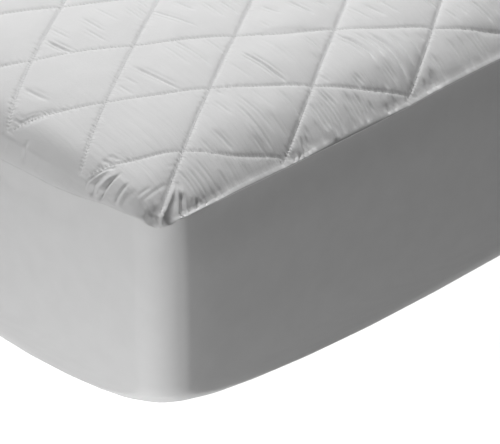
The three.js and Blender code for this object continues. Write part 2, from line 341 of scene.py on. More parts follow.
LATTICE_MIDDLE = np.round(to_lattice(0.0, 0.0))
SEAM_KNOTS_X = plan_distance(np.array([row["across"] for row in SEAM_DIP]), HALF_WIDTH, LONG_SIDE_ROLL)
SEAM_KNOTS_Z = np.array([SEAM_HEIGHT - row["dip"] for row in SEAM_DIP])


def soft_steps(value, rows, place, height):
    """The height at a value, between the rows of a table, level at each row."""
    places = np.array([row[place] for row in rows])
    heights = np.array([row[height] for row in rows])
    step = np.clip(np.searchsorted(places, value) - 1, 0, len(places) - 2)
    share = np.clip((value - places[step]) / (places[step + 1] - places[step]), 0, 1)
    return heights[step] + (heights[step + 1] - heights[step]) * share**2 * (3 - 2 * share)


def past_centres(x, y):
    """How far a place lies past the centre of the nearest corner."""
    return np.abs(x) - CENTRE_X, np.abs(y) - CENTRE_Y


def from_tip(x, y):
    """Distance along the outline from the nearest corner's tip, positive along the long side."""
    past_x, past_y = past_centres(x, y)
    half_arc = CORNER_RADIUS * math.pi / 4
    in_corner = half_arc - CORNER_RADIUS * np.arctan2(past_y, past_x)
    on_side = np.where(past_x > past_y, half_arc - past_y, past_x - half_arc)
    return np.where((past_x > 0) & (past_y > 0), in_corner, on_side)


def seam_height(x, y):
    dipped = np.interp(np.abs(x), SEAM_KNOTS_X, SEAM_KNOTS_Z)
    level = np.where(np.abs(y) > CENTRE_Y, dipped, SEAM_HEIGHT)
    return level + soft_steps(from_tip(x, y), SEAM_RISE, "from_tip", "rise")


def opening(distance):
    """Half the height between the quilted top's lip and the skirt, at distances from a corner's tip."""
    half_tape = soft_steps(distance, TAPE_SHAPE, "from_tip", "height") / 2
    return half_tape + soft_steps(distance, TAPE_SHAPE, "from_tip", "gap")


def edge_depth(x, y):
    """Distance in plan from the edge of the quilted face, inwards."""
    past_x, past_y = past_centres(x, y)
    outside = np.hypot(np.maximum(past_x, 0), np.maximum(past_y, 0))
    inside = np.minimum(np.maximum(past_x, past_y), 0)
    return CORNER_RADIUS - FACE_INSET - outside - inside


def outer_point(x, y):
    """The point of the outline nearest to a point inside it."""
    past_x, past_y = past_centres(x, y)
    in_corner = (past_x > 0) & (past_y > 0)
    length = np.maximum(np.hypot(past_x, past_y), TINY)
    corner_x = CENTRE_X + CORNER_RADIUS * past_x / length
    corner_y = CENTRE_Y + CORNER_RADIUS * past_y / length
    by_x = past_x > past_y
    side_x = np.where(by_x, HALF_WIDTH, np.abs(x))
    side_y = np.where(by_x, np.abs(y), HALF_LENGTH)
    return (
        np.sign(x) * np.where(in_corner, corner_x, side_x),
        np.sign(y) * np.where(in_corner, corner_y, side_y),
    )


class Stations:
    """Places round the outline, anticlockwise from above.

    Each is a share of the way to a corner's centre, and a normal.
    """

    def __init__(self):
        rows = []
        corners = ((1, -1), (1, 1), (-1, 1), (-1, -1))
        for quarter, start in enumerate(corners):
            end = corners[(quarter + 1) % 4]
            self.add_side(rows, start, end)
            self.add_corner(rows, end, quarter)
        self.side_x, self.side_y, self.normal_x, self.normal_y = np.array(rows).T
        self.count = len(rows)
        outer = self.ring(0, 0)
        steps = np.linalg.norm(np.roll(outer, -1, axis=0) - outer, axis=1)
        self.length = np.concatenate([[0], np.cumsum(steps)])

    def add_side(self, rows, start, end):
        """A straight side between two corners' centres, both ends left out."""
        along_y = start[0] == end[0]
        half = CENTRE_Y if along_y else CENTRE_X
        normal = (start[0], 0) if along_y else (0, start[1])
        shown = normal in ((1, 0), (0, -1))
        reach = -half
        while True:
            near = shown and (reach < FINE_ALONG if along_y else reach > FINE_ACROSS)
            reach += SIDE_STATION["fine" if near else "plain"]
            if reach > half - SIDE_STATION["last"]:
                break
            share = reach / half
            along = share if (start[1] if along_y else start[0]) < 0 else -share
            x, y = (start[0], along) if along_y else (along, start[1])
            rows.append((x, y, *normal))

    def add_corner(self, rows, corner, quarter):
        spacing = CORNER_STATION["fine" if corner == (1, -1) else "plain"]
        steps = round(CORNER_RADIUS * math.pi / 2 / spacing)
        for step in range(steps + 1):
            angle = math.pi / 2 * (quarter + step / steps)
            rows.append((*corner, math.cos(angle), math.sin(angle)))

    def ring(self, inset, z, radius=None):
        """A ring set in by inset. radius holds the corner radii, or is left out for a parallel ring."""
        across, along = radius or (np.maximum(CORNER_RADIUS - inset, SMALLEST_RADIUS),) * 2
        x = self.side_x * (HALF_WIDTH - inset - across) + self.normal_x * across
        y = self.side_y * (HALF_LENGTH - inset - along) + self.normal_y * along
        return np.column_stack([x, y, np.broadcast_to(z, x.shape)])


stations = Stations()
outline = stations.ring(0, 0)
outward = np.column_stack([stations.normal_x, stations.normal_y, np.zeros(stations.count)])
station_seam = seam_height(*outline[:, :2].T)
station_from_tip = from_tip(*outline[:, :2].T)
tape_proud = soft_steps(station_from_tip, TAPE_SHAPE, "from_tip", "proud")
tape_height = soft_steps(station_from_tip, TAPE_SHAPE, "from_tip", "height")
half_opening = opening(station_from_tip)


def loop_faces(lower, upper):
    """Quads between two loops of vertex numbers, the first further down or further in underneath."""
    return np.column_stack([lower, np.roll(lower, -1), np.roll(upper, -1), upper])


def add_object(name, data):
    made = bpy.data.objects.new(name, data)
    bpy.context.scene.collection.objects.link(made)
    return made


def make_piece(name, points, faces, uv=None):
    """A smooth mesh object from points in millimetres, riding on the part's body."""
    mesh = bpy.data.meshes.new(name)
    mesh.from_pydata([tuple(point) for point in np.asarray(points) * MM], [], [tuple(face) for face in faces])
    mesh.polygons.foreach_set("use_smooth", [True] * len(mesh.polygons))
    if uv is not None:
        corners = np.zeros(len(mesh.loops), dtype=np.int32)
        mesh.loops.foreach_get("vertex_index", corners)
        layer = mesh.uv_layers.new(name="cloth")
        layer.data.foreach_set("uv", (np.asarray(uv)[corners] * MM).ravel())
    mesh.validate()
    mesh.update()
    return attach(add_object(name, mesh), "root")


# Creases of the quilted top, in cloth coordinates. A row is a soft trough, or a ridge where its height
# is above 0: where it starts and ends, how far its middle bends to the right, its width and its height.
# The rows of a diamond are measured from its left corner.
CREASE_COLUMNS = "across along to_across to_along bend width height"
LONG_SIDE_DEEP = [
    (39, 47, 77, 40.5, -2.3, 1.6, -0.5),
    (36, 34.5, 84, 25, -1.5, 1.8, -0.65),
    (19, 18.6, 95, 7, -4.5, 1.8, -0.85),
    (13.5, 8, 65, 3, -3.5, 1.7, -0.6),
    (62, 2, 90, -3, 0, 1.5, -0.35),
    (6.5, -7, 66, -8, -4.8, 1.6, -0.8),
    (70, -3, 92, -5, 0, 1.2, -0.35),
    (66, -11, 93, -16.5, 0, 2.2, -0.3),
    (52, 59, 63, 58, 0, 2, -0.35),
    (63, -35.7, 74, -36, 0, 1.3, -0.5),
    (66, -39, 79, -41, 0, 1.5, -0.4),
    (46, -64, 57, -62.5, 0, 1.5, -0.35),
]
LONG_SIDE_SOFT = [
    (40, 46.5, 79, 40, -1.5, 1.6, -0.5),
    (25, 27.5, 60, 24.5, 0, 2, -0.3),
    (24, 9.5, 84, 6, -0.5, 1.8, -0.4),
    (60, 17, 92, 14, 0, 2, -0.3),
    (5, 2, 18, 1, 0, 1.8, -0.35),
    (30, 0, 98, -7.5, 0, 1.5, -0.5),
    (57, -7, 86, -12, 0, 1.3, 0.4),
    (18, -11, 46, -14, 0, 1.5, -0.35),
    (72, -15, 97, -16, 0, 1.5, -0.3),
    (48, -40.5, 79, -41.5, 0, 2, -0.45),
    (50, -57, 74, -60, 0, 1.8, -0.35),
]
EDGE_TIGHT = [
    (47, 63.5, 62, 57, 0, 1.6, -0.6),
    (50, 52, 62, 48.5, 0, 1.6, -0.6),
    (42, 36, 54, 34, 0, 1.3, -0.5),
    (27, 29.3, 62, 21.5, -1.2, 1.5, -0.75),
    (21, 21.5, 60, 14.5, 0, 2, -0.6),
    (34, 10.5, 61, 5, 0, 1.5, -0.4),
    (8, 3.6, 32, 3, 0, 1.3, -0.35),
    (7, 0, 62, -7.6, -2, 1.8, -0.65),
    (14, -7.3, 62, -16, -0.6, 1.6, -0.55),
    (13, -16.6, 52, -23, 0, 1.7, -0.45),
    (46, -18.3, 63, -21.5, 0, 1.6, 0.4),
    (33, -27.3, 62, -33, 0, 2, -0.4),
    (33, -39.4, 62, -46.5, 0, 1.7, -0.55),
    (43, -45.5, 62, -53, 0, 1.5, -0.5),
    (42, -50, 64, -60, 0, 1.5, -0.6),
    (42, -53, 64, -63.5, 0, 1.3, 0.35),
    (55, -60, 65, -68, 0, 1.4, -0.6),
    (52, -64, 63, -74, 0, 1.2, -0.5),
]
EDGE_LOOSE = [
    (22, 33, 58, 29, 0, 1.6, -0.35),
    (20, 23, 58, 21, 0, 1.8, -0.35),
    (18, 13.5, 61, 4.5, -1, 1.6, -0.5),
    (16, 2, 63, -5, -1, 2.0, -0.45),
    (24, -26, 62, -33.5, -1.2, 1.4, -0.55),
    (38, -39, 63, -45, 0, 2, -0.65),
    (43, -42.5, 61, -51, 0, 1.6, -0.5),
    (45, -53, 62, -59, 0, 1.6, -0.6),
]
EDGE_AT_CORNER = [
    (40, 38, 60, 33, 0, 1.8, -0.35),
    (30, 25, 60, 19, 0, 2, -0.3),
    (36, 12, 60, 8.5, 0, 1.6, -0.35),
    (12, 0.5, 60, -2.5, -1, 1.6, -0.3),
    (16, -6, 61, -9.5, -1, 1.5, -0.28),
    (16, -12, 61, -16, -1, 1.5, -0.28),
    (14, -20, 61, -25, -1, 1.6, -0.4),
    (53, 2, 63, -2, 0, 1.3, -0.45),
    (54, -5, 63, -10, 0, 1.3, -0.55),
    (52, -13, 63, -22, 0, 1.4, -0.65),
    (49, -23, 63, -33, 0, 1.5, -0.75),
]
INNER_FOLD = [
    (24.8, -17.2, 93, -18.4, -0.3, 1.4, -1.0),
    (71, 31, 88, 30, 0, 1.6, -0.35),
    (46, 45.4, 77, 41, -1, 1.5, -0.45),
    (20, 12, 80, 6, -1, 2.4, -0.25),
    (30, -38, 70, -40, 0, 2.2, -0.2),
]
INNER_SOFT = [
    (39, 54.5, 70, 49.5, 0, 1.5, -0.4),
    (20, 30.5, 86, 22.5, -2.3, 1.6, -0.6),
    (20, 17.5, 68, 9.5, -1, 1.5, -0.3),
    (23, -25.5, 95, -22, 0.5, 2.1, -0.65),
    (34, -42, 54, -43, 0, 1.7, -0.3),
    (38, -54, 64, -56, 0, 1.7, -0.35),
]
MIDDLE_FOLD = [
    (42, 59, 68, 54, 0, 1.6, -0.4),
    (52, 49, 75, 46, 0, 1.6, -0.4),
    (47, 40, 78, 36, 0, 1.6, -0.3),
    (27, 19, 62, 19, 0, 2, -0.25),
    (32, -1.5, 68, -3.5, 0, 1.7, -0.4),
    (49, -13, 83, -13, 0, 1.5, -0.3),
    (19, -33, 54, -33.5, 0, 1.6, -0.3),
    (36, -49, 76, -46, 1, 1.5, -0.95),
]
MIDDLE_LINES = [
    (55, 44, 71, 40, 0, 1.5, -0.4),
    (45, 32.5, 80, 28.5, -1, 1.5, -0.5),
    (40, 19.5, 77, 13.5, -1, 1.6, -0.6),
    (18, 3.5, 48, 3.5, 0, 2.4, -0.5),
    (10, -24.5, 72, -16.5, -1, 1.8, -0.55),
]
MIDDLE_SHORT = [
    (58, 20, 76, 20, 0, 1.6, -0.5),
    (39, -0.6, 79, 0, 0, 1.7, -0.75),
    (30, -25.5, 56, -23, -1, 1.9, -0.55),
    (50, -45, 66, -49, 0, 1.7, -0.35),
]
INNER_BROAD = [
    (70, 26, 87, 24, 0, 1.5, -0.5),
    (40, -13.5, 74, -13.5, 0, 2.2, -0.35),
    (38, -29.5, 69, -26.5, 0, 2.2, -0.5),
    (33, -41.5, 67, -41.5, 0, 1.8, -0.3),
]
LONG_SIDE_BROAD = [
    (56, -4, 75, -10, 0, 1.6, -0.45),
    (44, -20.5, 80, -22, -0.5, 1.8, -0.55),
    (39, -35.5, 60, -38.5, 0, 1.7, -0.35),
    (39, -49.5, 60, -50.5, 0, 1.7, -0.35),
]
END_HOOK = [
    (25, -32.5, 63, -31.5, 0.8, 2.5, -0.55),
    (47, -63.5, 66, -61.5, 1.5, 1.4, -0.4),
    (66, -61.5, 71, -44, 1, 1.4, -0.35),
    (45, -71, 59, -74, 0, 1.2, -0.25),
    (55, -69, 82, -32, 0, 2, -0.6),
]
END_SMOOTH = [
    (57, -57, 74, -55, 0, 1.4, -0.45),
    (59, -50, 77, -47.5, 0, 1.6, -0.4),
    (58, -63.5, 68, -62.5, 0, 1.3, -0.4),
]
# The diamonds that the camera sees, by the place of their left corner
SHOWN_DIAMONDS = table(
    "across along creases strength",
    (346, -635, LONG_SIDE_DEEP, 1.1),
    (346, -794, LONG_SIDE_SOFT, 1.0),
    (346, -476, LONG_SIDE_BROAD, 1.1),
    (397, -715, EDGE_TIGHT, 1.2),
    (397, -556, EDGE_LOOSE, 1.2),
    (397, -873, EDGE_AT_CORNER, 1.0),
    (294, -715, INNER_FOLD, 1.0),
    (242, -794, INNER_SOFT, 0.9),
    (294, -556, INNER_BROAD, 1.0),
    (138, -794, MIDDLE_FOLD, 0.9),
    (190, -715, MIDDLE_LINES, 0.9),
    (242, -635, MIDDLE_SHORT, 0.9),
    (190, -873, END_HOOK, 0.8),
    (294, -873, END_SMOOTH, 0.8),
)
# Creases beside the stitching, gathers over the short side's edge, and the pinched corner
CORNER_CREASES = [
    (308, -697, 341, -649, 0, 2.4, -0.8),
    (422, -522, 436, -500, 0, 2.2, -0.8),
    (415, -589, 441, -627, 0, 2.2, -0.5),
    (268.5, -944, 267, -968, 0, 1.7, -1.6),
    (246, -953, 243, -966, 0, 1.2, -0.6),
    (286, -954, 284, -966, 0, 1.5, -0.6),
    (300, -952, 295, -963, 0, 2, -0.3),
    (325, -951, 318, -963, 0, 2, -0.4),
    (334, -952, 328, -964, 0, 1.8, -0.4),
    (373, -927, 351, -955, 1.5, 1.7, -1.8),
    (370, -930, 354, -959, 1.5, 1.9, 1.5),
    (367.5, -935, 366, -950, 0, 2, -0.8),
    (364, -943, 361, -962, 0, 1.5, -1.7),
    (381.5, -931, 373, -962, 0.5, 1.7, -2.4),
    (376, -936, 367.5, -961, 0.5, 1.8, 1.2),
    (397, -936, 392.5, -957, 0, 1.5, -1.7),
    (401, -942, 398, -959, 0, 1.8, 0.8),
    (423, -903, 451, -951, -1.5, 1.9, 2.2),
    (437, -925, 452, -952, 0, 3.2, 0.5),
    (434, -912, 458, -942, 0, 3.2, -0.9),
    (425, -904, 459, -929, 0, 1.5, 1.8),
    (434, -906, 461, -923.5, 0, 1.8, -4.0),
    (428, -901, 463, -919, 0, 1.5, 1.7),
    (423, -902.5, 431, -906, 0, 1.3, -0.8),
    (434, -933, 441, -955, 0, 3, -0.9),
    (420, -905, 421, -946, 0, 1.6, -0.7),
    (415, -926, 414, -944, 0, 1.5, -0.7),
    (410, -937, 401, -957, 0, 3, -0.6),
    (427, -938, 431, -956, 0, 2.4, 0.5),
]


def start_and_chord(crease):
    start = np.array([crease["across"], crease["along"]])
    return start, np.array([crease["to_across"], crease["to_along"]]) - start


def beside(crease, neighbour):
    """A fainter crease beside another one."""
    start, chord = start_and_chord(crease)
    sideways = neighbour["apart"] * np.array([-chord[1], chord[0]]) / np.hypot(*chord)
    first = start + chord * neighbour["starts_at"] + sideways
    last = start + chord * neighbour["ends_at"] + sideways
    bend = crease["bend"] * (neighbour["ends_at"] - neighbour["starts_at"]) ** 2
    height = crease["height"] * neighbour["height"]
    return named(CREASE_COLUMNS, (*first, *last, bend, crease["width"], height))


def shown_creases(with_neighbours=True):
    """All creases that the camera sees, as rows with named values."""
    for diamond in SHOWN_DIAMONDS:
        for row in diamond["creases"]:
            crease = named(CREASE_COLUMNS, row)
            crease["height"] *= CREASE_STRENGTH * diamond["strength"]
            crease["width"] *= CREASE_NARROWING
            for end in ("", "to_"):
                crease[end + "across"] += diamond["across"]
                crease[end + "along"] += diamond["along"]
            yield crease
            if with_neighbours:
                for neighbour in CREASE_NEIGHBOURS:
                    yield beside(crease, neighbour)
    for row in CORNER_CREASES:
        yield named(CREASE_COLUMNS, row)


def unseen_creases():
    """The same creases round the rest of the top, wider and less regular."""
    period = 2 * DIAMOND_HALF_LENGTH
    shown = list(shown_creases(with_neighbours=False))
    turns = range(UNSEEN["turns"])
    places = [(side, turn, end) for side in (1, -1) for turn in turns for end in (1, -1)]
    for side, turn, end in places[1:]:
        for index, crease in enumerate(shown):
            in_corner = index >= len(shown) - len(CORNER_CREASES)
            if (in_corner and turn > 0) or (turn >= UNSEEN["turns_from_far_end"] and end < 0):
                continue
            drift = UNSEEN["drift"] * math.sin(UNSEEN_WAVES["drift_by_turn"] * turn + index + side)
            moved = dict(crease)
            for name in ("", "to_"):
                moved[name + "across"] = side * crease[name + "across"]
                along = crease[name + "along"] + turn * period
                moved[name + "along"] = end * (along + (0 if in_corner else drift))
            moved["bend"] *= side * end
            moved["width"] = max(moved["width"] * UNSEEN_CREASE_WIDTH["times"], UNSEEN_CREASE_WIDTH["least"])
            wave = UNSEEN_WAVES["height_by_crease"] * index + UNSEEN_WAVES["height_by_turn"] * turn + end
            moved["height"] *= UNSEEN["height"] + UNSEEN["change"] * math.sin(wave)
            yield moved


def add_crease(heights, points, crease):
    """Adds a soft ridge or trough along a bent line."""
    start, chord = start_and_chord(crease)
    length = np.hypot(*chord)
    margin = CREASE_REACH * crease["width"] + abs(crease["bend"])
    low = np.minimum(start, start + chord) - margin
    high = np.maximum(start, start + chord) + margin
    near = np.flatnonzero(((points > low) & (points < high)).all(axis=1))
    if not len(near):
        return
    offset = points[near] - start
    share = offset @ chord / length**2
    side = (offset[:, 0] * chord[1] - offset[:, 1] * chord[0]) / length
    side = side - 4 * crease["bend"] * share * (1 - share)
    ends = np.clip(share / CREASE_FADE, 0, 1) * np.clip((1 - share) / CREASE_FADE, 0, 1)
    ends = ends * ends * (3 - 2 * ends)
    heights[near] += crease["height"] * ends * np.exp(-((side / crease["width"]) ** 2))


def is_fine(points):
    """Whether a place on the cloth lies where the camera sees it."""
    limit = FINE_LIMIT["along"] + FINE_LIMIT["slope"] * (points[:, 0] - FINE_LIMIT["across"])
    return (points[:, 0] > FINE_ACROSS) & (points[:, 1] < np.minimum(limit, FINE_ALONG))


def is_gathered(points):
    """Whether a place lies where creases run in all directions."""
    inside = [(points[:, 0] > area["across"]) & (points[:, 1] < area["along"]) for area in GATHERED_AREAS]
    return is_fine(points) & np.any(inside, axis=0)


def is_in(area, points):
    """Whether a place lies in the area that a grid covers."""
    if area == "plain":
        return ~is_fine(points)
    gathered = is_gathered(points)
    return gathered if area == "gathered" else is_fine(points) & ~gathered


def crease_heights(points):
    heights = np.zeros(len(points))
    fine = is_fine(points)
    for area, creases in ((fine, shown_creases()), (~fine, unseen_creases())):
        inside = points[area]
        part = np.zeros(len(inside))
        for crease in creases:
            add_crease(part, inside, crease)
        heights[area] = part
    return heights


# Quilted top
def is_clear(kind, place):
    """Whether a place lies far enough inside the face's edge for a vertex of a kind."""
    return edge_depth(*to_plan(*place.T)) > np.where(is_fine(place), *EDGE_CLEAR[kind])


def quilt_points():
    """Cloth coordinates of the face's vertices, its boundary first, and the edges that have to be kept."""
    points = [np.column_stack(to_cloth(*stations.ring(FACE_INSET, 0)[:, :2].T))]
    edges = [(index, (index + 1) % stations.count) for index in range(stations.count)]
    total = stations.count
    last_step = LATTICE_REACH * FINE_STEPS_PER_SIDE
    spread = np.arange(-last_step, last_step + 1) / FINE_STEPS_PER_SIDE
    is_plain_step = np.arange(len(spread)) % (FINE_STEPS_PER_SIDE // PLAIN_STEPS_PER_SIDE) == 0
    for family in (0, 1):
        way = spread + LATTICE_MIDDLE[1 - family]
        for line in np.arange(-LATTICE_REACH, LATTICE_REACH + 1) + LATTICE_MIDDLE[family]:
            place = on_line(family, line, way)
            chosen = np.flatnonzero((is_fine(place) | is_plain_step) & is_clear("line", place))
            if not len(chosen):
                continue
            points.append(place[chosen])
            edges += [(total + step, total + step + 1) for step in range(len(chosen) - 1)]
            total += len(chosen)
            for flanks, fine in ((FINE_FLANKS, True), (PLAIN_FLANKS, False)):
                for flank in [sign * size for size in flanks for sign in (1, -1)]:
                    place = on_line(family, line + flank / LINE_SPACING, way)
                    other = off_line(to_lattice(*place.T)[1 - family])
                    wanted = (is_fine(place) == fine) & (other > abs(flank) * FLANK_CLEAR)
                    wanted &= is_clear("flank", place) & (fine | is_plain_step)
                    points.append(place[wanted])
                    total += int(wanted.sum())
    for grid in GRIDS:
        rows = np.arange(-HALF_LENGTH - CLOTH_MARGIN, HALF_LENGTH + CLOTH_MARGIN, grid["along"])
        columns = np.arange(-HALF_WIDTH - CLOTH_MARGIN, HALF_WIDTH + CLOTH_MARGIN, grid["across"])
        across, along = np.meshgrid(columns, rows)
        across[1::2] += grid["across"] / 2
        place = np.column_stack([across.ravel(), along.ravel()])
        off_stitching = nearest_line(*to_lattice(*place.T)) > grid["clear"]
        points.append(place[off_stitching & is_in(grid["area"], place) & is_clear("grid", place)])
    return np.concatenate(points), edges


def nearest_line(u, v):
    """Distance to the nearest stitched line."""
    return np.minimum(off_line(u), off_line(v))


def quilting(flat, depth):
    """Height of the filled diamonds and of the stitched grooves between them."""
    u, v = to_lattice(*flat.T)
    edge_fade = np.clip(depth / PUFF_EDGE_FADE, 0, 1)
    edge_fade = edge_fade * (2 - edge_fade)
    on_long_side = np.clip((CENTRE_Y - np.abs(flat[:, 1])) / LONG_SIDE_FADE, 0, 1)
    at_long_side = PUFF_AT_LONG_SIDE + (1 - PUFF_AT_LONG_SIDE) * edge_fade
    edge_fade = np.maximum(edge_fade, on_long_side * at_long_side)
    middle = CROSSING_ACROSS + (np.floor(u) + np.floor(v) + 1) * DIAMOND_HALF_WIDTH
    fill, fill_at_lines = [
        soft_steps(np.abs(place), PUFF, "across", "height") for place in (middle, flat[:, 0])
    ]
    changes = np.ones(len(flat))
    for row in FILL_CHANGES:
        apart = np.hypot(np.abs(flat[:, 0]) - row["across"], -np.abs(flat[:, 1]) - row["along"])
        changes *= 1 + row["change"] * np.exp(-((apart / row["spread"]) ** 2))
    side = np.sign(flat[:, 0])
    falls = [np.maximum(np.sin(math.pi * ((side * value) % 1) ** PUFF_LEAN), 0) for value in (u, v)]
    rounded = [fall**PUFF_SHARPNESS for fall in falls]
    full = changes * rounded[0] * (fill_at_lines * LINE_LIFT + fill * (1 - LINE_LIFT) * rounded[1])
    nearest = nearest_line(u, v)
    on_steep_line = off_line(u) < off_line(v)
    way = np.where(on_steep_line, v, u)
    needle = 1 + NEEDLE_DEPTH * np.cos(2 * math.pi * STITCHES_PER_SIDE * way)
    groove = GROOVE_DEPTH * needle * np.exp(-((nearest / GROOVE_WIDTH) ** 2))
    groove *= 1 + STEEP_GROOVE * on_steep_line
    ripple = RIPPLE["height"] * np.exp(-((nearest / RIPPLE["reach"]) ** 2))
    ripple *= np.clip(nearest / CLEAR_OF_STITCHES, 0, 1)
    wave = way * DIAMOND_SIDE / RIPPLE["pitch"]
    ripple *= np.sin(2 * math.pi * wave + RIPPLE["wander"] * np.sin(RIPPLE["wander_wave"] * wave))
    ripple *= 1 + np.sin(RIPPLE["height_wave"] * wave + u)
    return (full - groove + ripple * is_fine(flat)) * edge_fade


def stitched_height(x, y):
    """Height of the face of the quilted top, without its creases."""
    depth = np.maximum(edge_depth(x, y), 0)
    nearest_outline = outer_point(x, y)
    lip = seam_height(*nearest_outline) + opening(from_tip(*nearest_outline))
    slope = FACE_OVER_LIP["slope"] * depth * (depth < FACE_OVER_LIP["reach"])
    base = np.maximum(top_height(x, y), lip + FACE_OVER_LIP["least"] + slope)
    return base + quilting(np.column_stack(to_cloth(x, y)), depth)


def surface_normal(x, y):
    slope_x = (top_height(x + SLOPE_STEP, y) - top_height(x - SLOPE_STEP, y)) / (2 * SLOPE_STEP)
    slope_y = (top_height(x, y + SLOPE_STEP) - top_height(x, y - SLOPE_STEP)) / (2 * SLOPE_STEP)
    return unit(np.column_stack([-slope_x, -slope_y, np.ones_like(x)]))


def quilted_top():
    flat, edges = quilt_points()
    squeeze = np.array(TRIANGLE_SQUEEZE)
    vertices, _, triangles, origins, _, _ = delaunay_2d_cdt(
        [Vector(point) for point in flat * squeeze], edges, [], 0, SAME_PLACE
    )
    flat = np.array([vertex[:] for vertex in vertices]) / squeeze
    number_of = {}
    for index, sources in enumerate(origins):
        for source in sources:
            number_of.setdefault(source, index)
    rim = np.array([number_of[index] for index in range(stations.count)])
    x, y = to_plan(*flat.T)
    nearest = nearest_line(*to_lattice(*flat.T))
    heights = crease_heights(flat) * np.clip(nearest / CLEAR_OF_STITCHES, 0, 1)
    normals = surface_normal(x, y)
    face = np.column_stack([x, y, stitched_height(x, y)]) + normals * heights[:, None]
    edge = face[rim] - normals[rim] * heights[rim, None]

    points, uv, loops = [face], [flat], [rim]
    faces = [tuple(triangle) for triangle in triangles]

    def add_ring(ring, cloth):
        """Joins one more ring of vertices to the last one."""
        first = sum(len(part) for part in points)
        loops.append(np.arange(first, first + stations.count))
        faces.extend(tuple(quad) for quad in loop_faces(loops[-1], loops[-2]))
        points.append(ring)
        uv.append(cloth)

    lip_z = station_seam + half_opening
    lip_inset = -np.maximum(tape_proud + TAPE_LEAN * tape_height / 2, -SKIRT_INSET)
    lip = stations.ring(lip_inset, lip_z)
    rise = np.maximum(SHOULDER["share"] * (edge[:, 2] - lip_z), SHOULDER["least"])
    shoulder = stations.ring(lip_inset, lip_z + rise)
    turn = 2 * math.pi * stations.length[:-1] / GATHERS["pitch"]
    gathers = np.sin(turn + GATHERS["wander"] * np.sin(turn / GATHERS["wander_over"]))
    gathers *= 1 + np.sin(turn / GATHERS["height_over"] + 1)
    off_corner = (station_from_tip - GATHERS_FROM_TIP["starts_at"]) / GATHERS_FROM_TIP["fade"]
    gathers *= GATHERS["height"] / 2 * np.clip(off_corner, 0, 1)
    run = 0.0
    previous = edge
    for share in ROLL_SHARES:
        ring = (1 - share) ** 2 * edge + 2 * share * (1 - share) * shoulder + share**2 * lip
        run = run + np.linalg.norm(ring - previous, axis=1)
        previous = ring
        cloth = flat[rim] + outward[:, :2] * run[:, None]
        normal = unit(normals[rim] * (1 - share) + outward * share)
        held = crease_heights(cloth) * (1 - CREASE_LOSS_AT_LIP * share**2)
        held += gathers * min(4 * share * (1 - share), 1)
        add_ring(ring + normal * held[:, None], cloth)
    inner = stations.ring(LIP["width"] + LIP["step"], 0)
    inner_z = top_height(*inner[:, :2].T) - QUILT_THICKNESS
    inner[:, 2] = np.maximum(inner_z, lip_z + LIP["least_rise"])
    for ring in (stations.ring(LIP["width"], lip_z), inner):
        add_ring(ring, ring[:, :2])
    lower, lower_faces = underside(inner, loops[-1], sum(len(part) for part in points))
    points.append(lower)
    uv.append(lower[:, :2])
    return make_piece("quilted_cloth", np.concatenate(points), faces + lower_faces, np.concatenate(uv))


def underside(rim_points, rim_numbers, first):
    """The plain lower face, which nothing shows, with fewer vertices than its rim."""
    few = np.arange(0, stations.count, UNDERSIDE_STATIONS)
    inner = [stations.ring(inset, 0)[few, :2] for inset in UNDERSIDE_INSETS]
    inner.append(np.array([[x, y] for x in UNDERSIDE_MIDDLE["across"] for y in UNDERSIDE_MIDDLE["along"]]))
    inner = np.concatenate(inner)
    flat = np.concatenate([rim_points[:, :2], inner])
    count = len(rim_numbers)
    edges = [(index, (index + 1) % count) for index in range(count)]
    _, _, faces, origins, _, _ = delaunay_2d_cdt([Vector(point) for point in flat], edges, [], 0, SAME_PLACE)
    source_of = [sources[0] for sources in origins]
    number = [int(rim_numbers[source]) if source < count else first + source - count for source in source_of]
    down = [tuple(number[index] for index in reversed(face)) for face in faces]
    return np.column_stack([inner, top_height(*inner.T) - QUILT_THICKNESS]), down


# Skirt and tape
def corner_pull(z):
    """How far the corners are drawn in at a height, as a share."""
    share = max(1 - z / CORNER_PULL["height"], 0)
    return min(1 - math.sqrt(1 - share ** CORNER_PULL["exponent"]), CORNER_PULL["most"])


def swollen(ring):
    """A ring of the skirt's wall, pushed out along the long sides."""
    way = np.clip((station_from_tip - SWELL["from_tip"]) / (SWELL["to_tip"] - SWELL["from_tip"]), 0, 1)
    out = SWELL["out"] * way * (2 - way) * soft_steps(ring[:, 2], SWELL_BY_HEIGHT, "z", "share")
    return ring + outward * out[:, None]


def skirt_rings():
    top_edge = station_seam - half_opening
    top = [swollen(stations.ring(SKIRT_INSET, top_edge - below)) for below in SKIRT_BELOW_SEAM]
    wall = []
    for z in SKIRT_HEIGHTS:
        down = max(BOTTOM_EDGE_RADIUS - z, 0)
        inset = BOTTOM_EDGE_RADIUS - math.sqrt(BOTTOM_EDGE_RADIUS**2 - down**2)
        pull = corner_pull(z)
        radius = (CORNER_RADIUS + CORNER_PULL["across"] * pull, CORNER_RADIUS + CORNER_PULL["along"] * pull)
        wall.append(swollen(stations.ring(inset, float(z), radius)))
    hem = [stations.ring(row["inset"], 0.0, (row["across"], row["along"])) for row in HEM_RINGS]
    return np.array(top + wall + hem)


def offset_rings(rings, distance):
    """The rings moved inwards, square to the face."""
    round_way = np.roll(rings, -1, axis=1) - np.roll(rings, 1, axis=1)
    down_way = np.concatenate([rings[1:], rings[-1:]]) - np.concatenate([rings[:1], rings[:-1]])
    inward = np.cross(round_way, down_way)
    inward[0, :, 2] = 0
    inward = unit(inward)
    inward[-1] = (0, 0, 1)
    return rings + inward * distance


